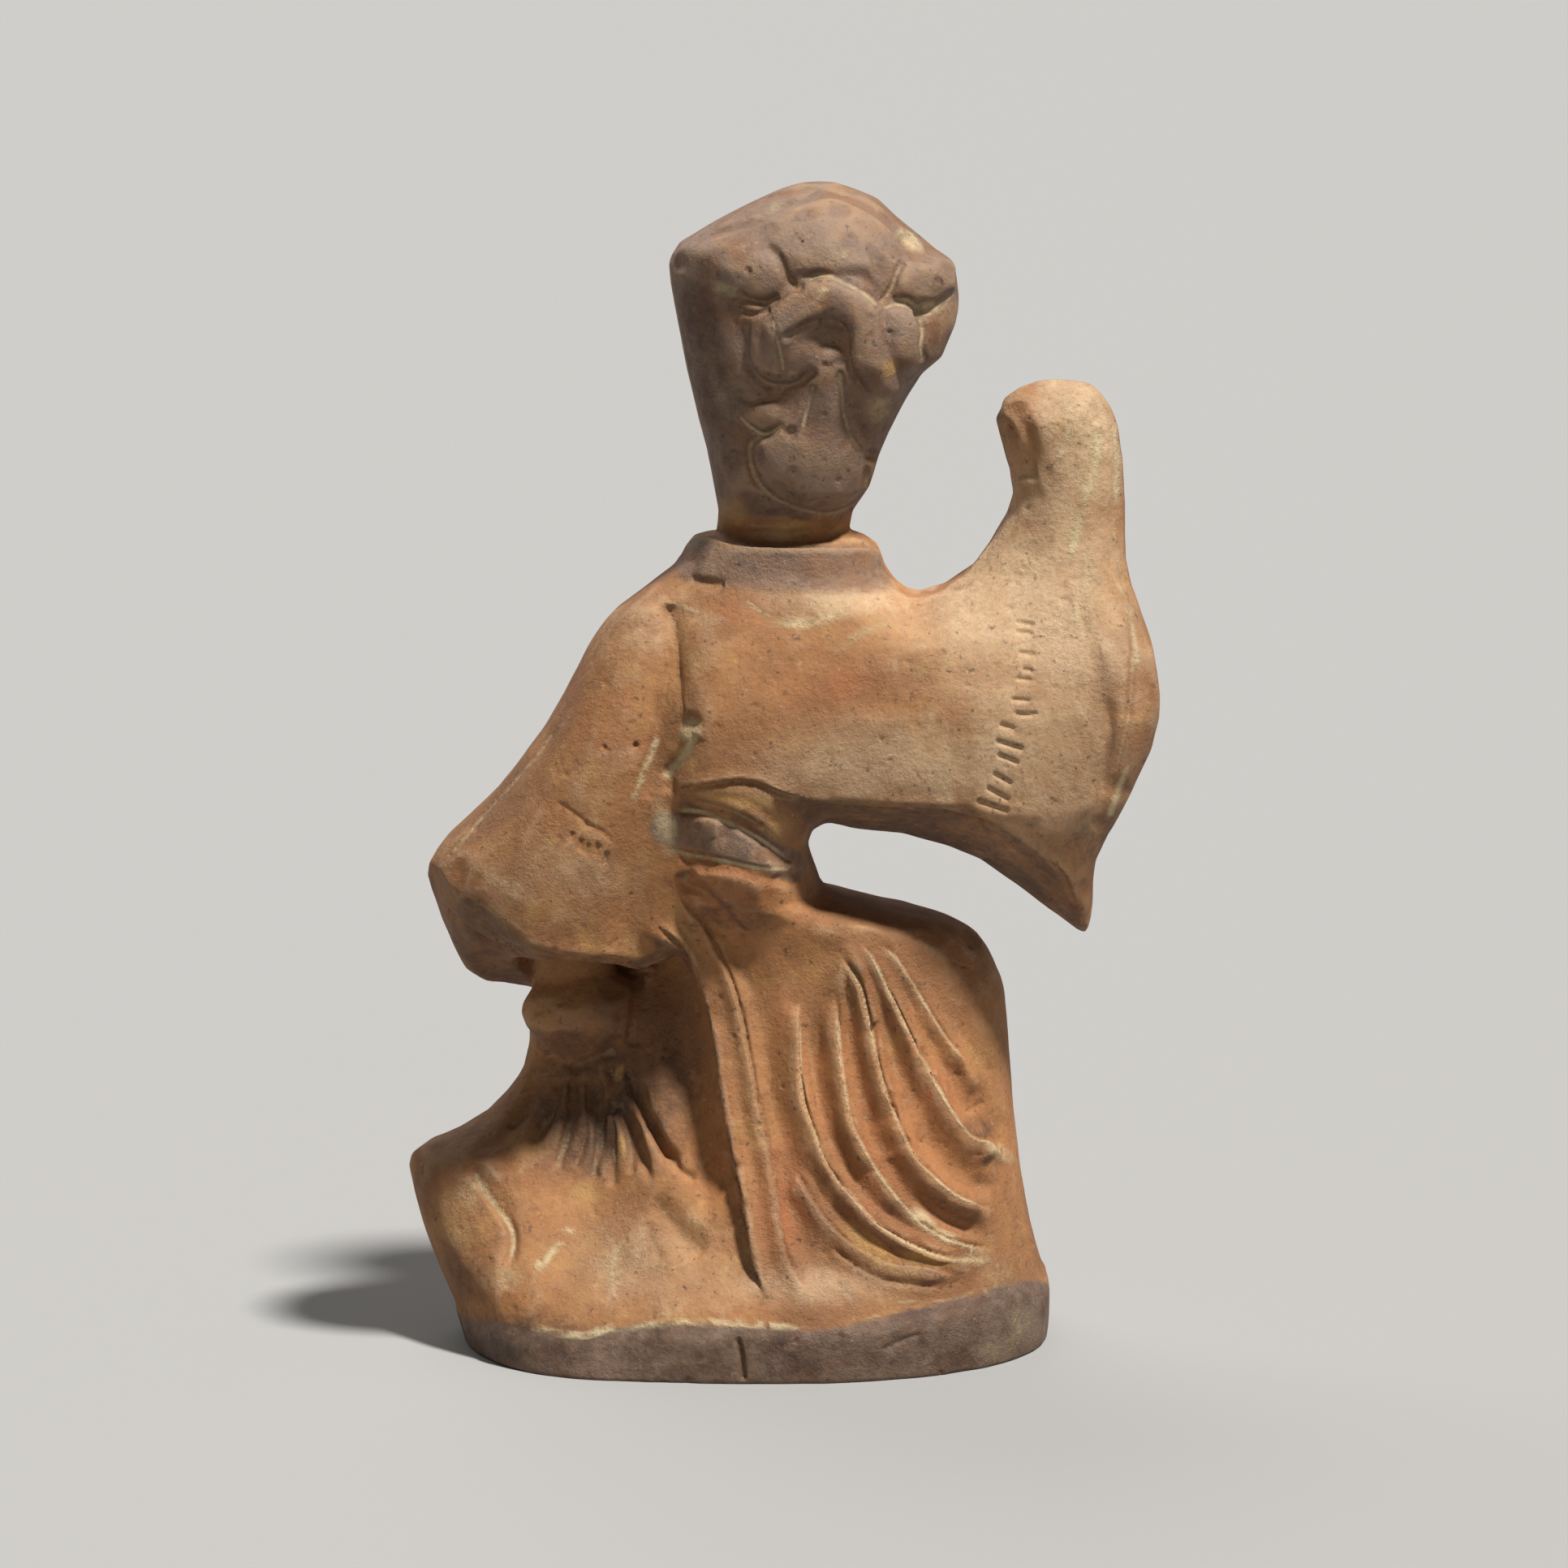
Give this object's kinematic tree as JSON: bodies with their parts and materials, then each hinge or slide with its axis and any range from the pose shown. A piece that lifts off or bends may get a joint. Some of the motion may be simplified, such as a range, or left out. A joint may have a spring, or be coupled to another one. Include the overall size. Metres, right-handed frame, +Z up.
{
  "type": "pottery dancer figure",
  "caption": "Ancient earthenware tomb figure of a robed dancer with a raised wide sleeve, a skirt lifted in one hand and dressed hair, standing on its flared hem.",
  "frame": {"origin": "middle of the flat underside of the hem that the figure stands on", "axes": "+Z up; the figure faces +Y, so the pictured back faces -Y; +X is the side of the raised sleeve"},
  "size_m": [0.3238, 0.1995, 0.5001],
  "materials": {
    "earthenware": "unglazed low-fired clay, worn, with earth and mineral deposits in the folds"
  },
  "bodies": {
    "root": {"dancer_figure": "earthenware"}
  },
  "joints": []
}
